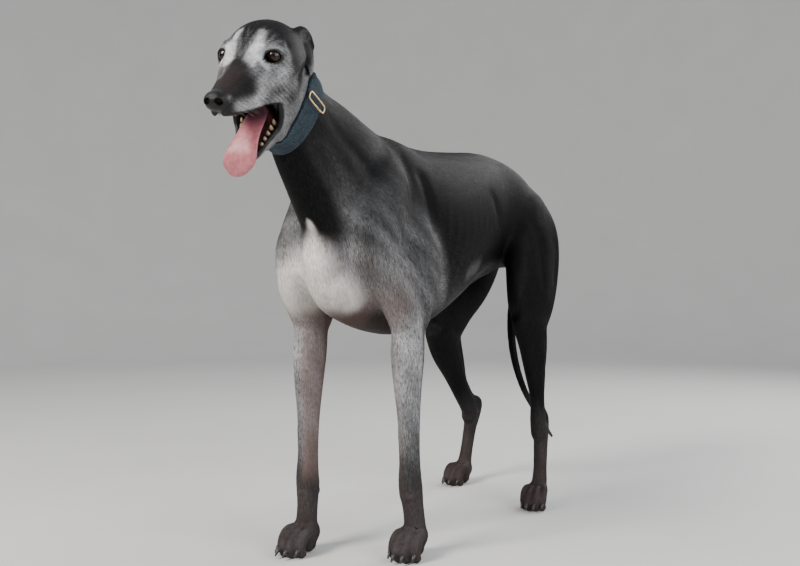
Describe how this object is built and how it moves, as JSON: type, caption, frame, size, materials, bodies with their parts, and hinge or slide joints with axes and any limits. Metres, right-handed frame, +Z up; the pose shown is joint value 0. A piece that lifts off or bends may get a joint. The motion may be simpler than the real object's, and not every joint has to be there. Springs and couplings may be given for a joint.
{
  "type": "standing greyhound model",
  "caption": "Life-size still model of a standing greyhound with an open mouth, folded ears, a low tail and a wide collar with a wire ring.",
  "frame": {"origin": "middle of the bounding box's base, on the floor under the trunk", "axes": "+Z up, the body's length along Y with the head towards -Y, the dog's left towards +X"},
  "size_m": [0.3164, 1.1744, 0.8407],
  "materials": {
    "coat": "short flat black coat grizzled with grey and white",
    "eye": "dark brown, wet",
    "tongue": "pink, moist",
    "collar_web": "blue mottled weave",
    "ring_wire": "dull brass wire"
  },
  "bodies": {
    "root": {"torso": "coat", "neck": "coat", "head": "coat", "lower_jaw": "coat", "ear_left": "coat", "ear_right": "coat", "foreleg_left": "coat", "foreleg_right": "coat", "forepaw_left": "coat", "forepaw_right": "coat", "hindleg_left": "coat", "hindleg_right": "coat", "hock_left": "coat", "hock_right": "coat", "hindpaw_left": "coat", "hindpaw_right": "coat", "tail": "coat", "eye_left": "eye", "eye_right": "eye", "tongue": "tongue", "collar": "collar_web", "collar_ring": "ring_wire"}
  },
  "joints": []
}
